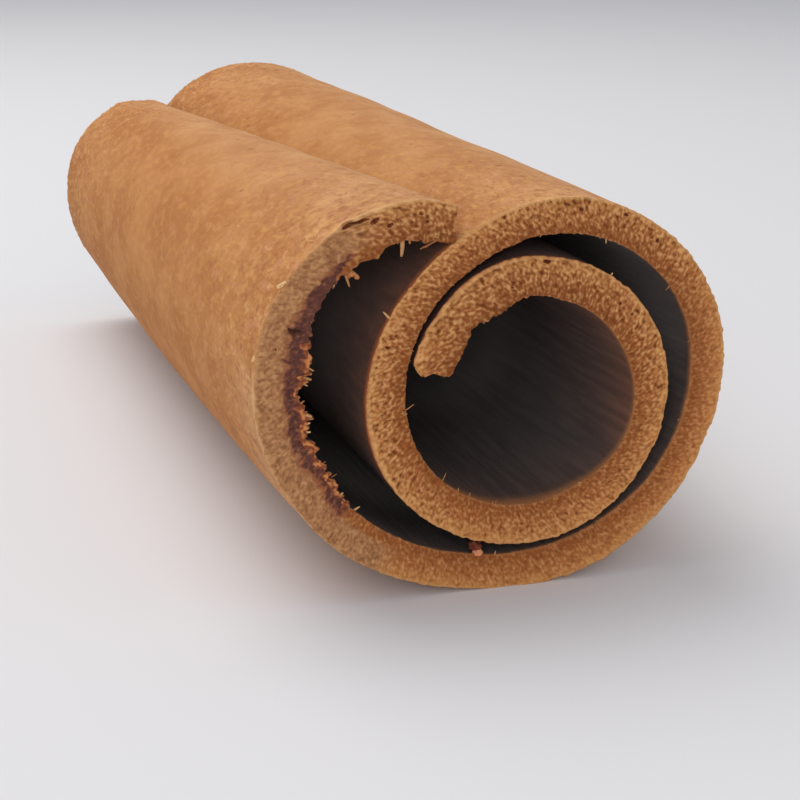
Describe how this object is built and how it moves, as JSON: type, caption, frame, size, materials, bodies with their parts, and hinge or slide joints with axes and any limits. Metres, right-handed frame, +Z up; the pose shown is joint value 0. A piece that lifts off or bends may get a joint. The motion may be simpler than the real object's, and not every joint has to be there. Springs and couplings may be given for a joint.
{
  "type": "cassia bark quill",
  "caption": "One strip of dried, scraped cassia bark curled lengthwise into a scroll, sawn square at both ends and lying on its side.",
  "frame": {"origin": "bottom centre of the quill's bounding box, on the surface it lies on", "axes": "+Y along the quill from the near sawn end to the far one, +X across it, +Z up"},
  "size_m": [0.031, 0.08, 0.0255],
  "materials": {
    "bark": "matt dry bark: scraped orange-tan outer face, granular sawn ends, dark red-brown inner face"
  },
  "bodies": {
    "root": {"bark": "bark"}
  },
  "joints": []
}
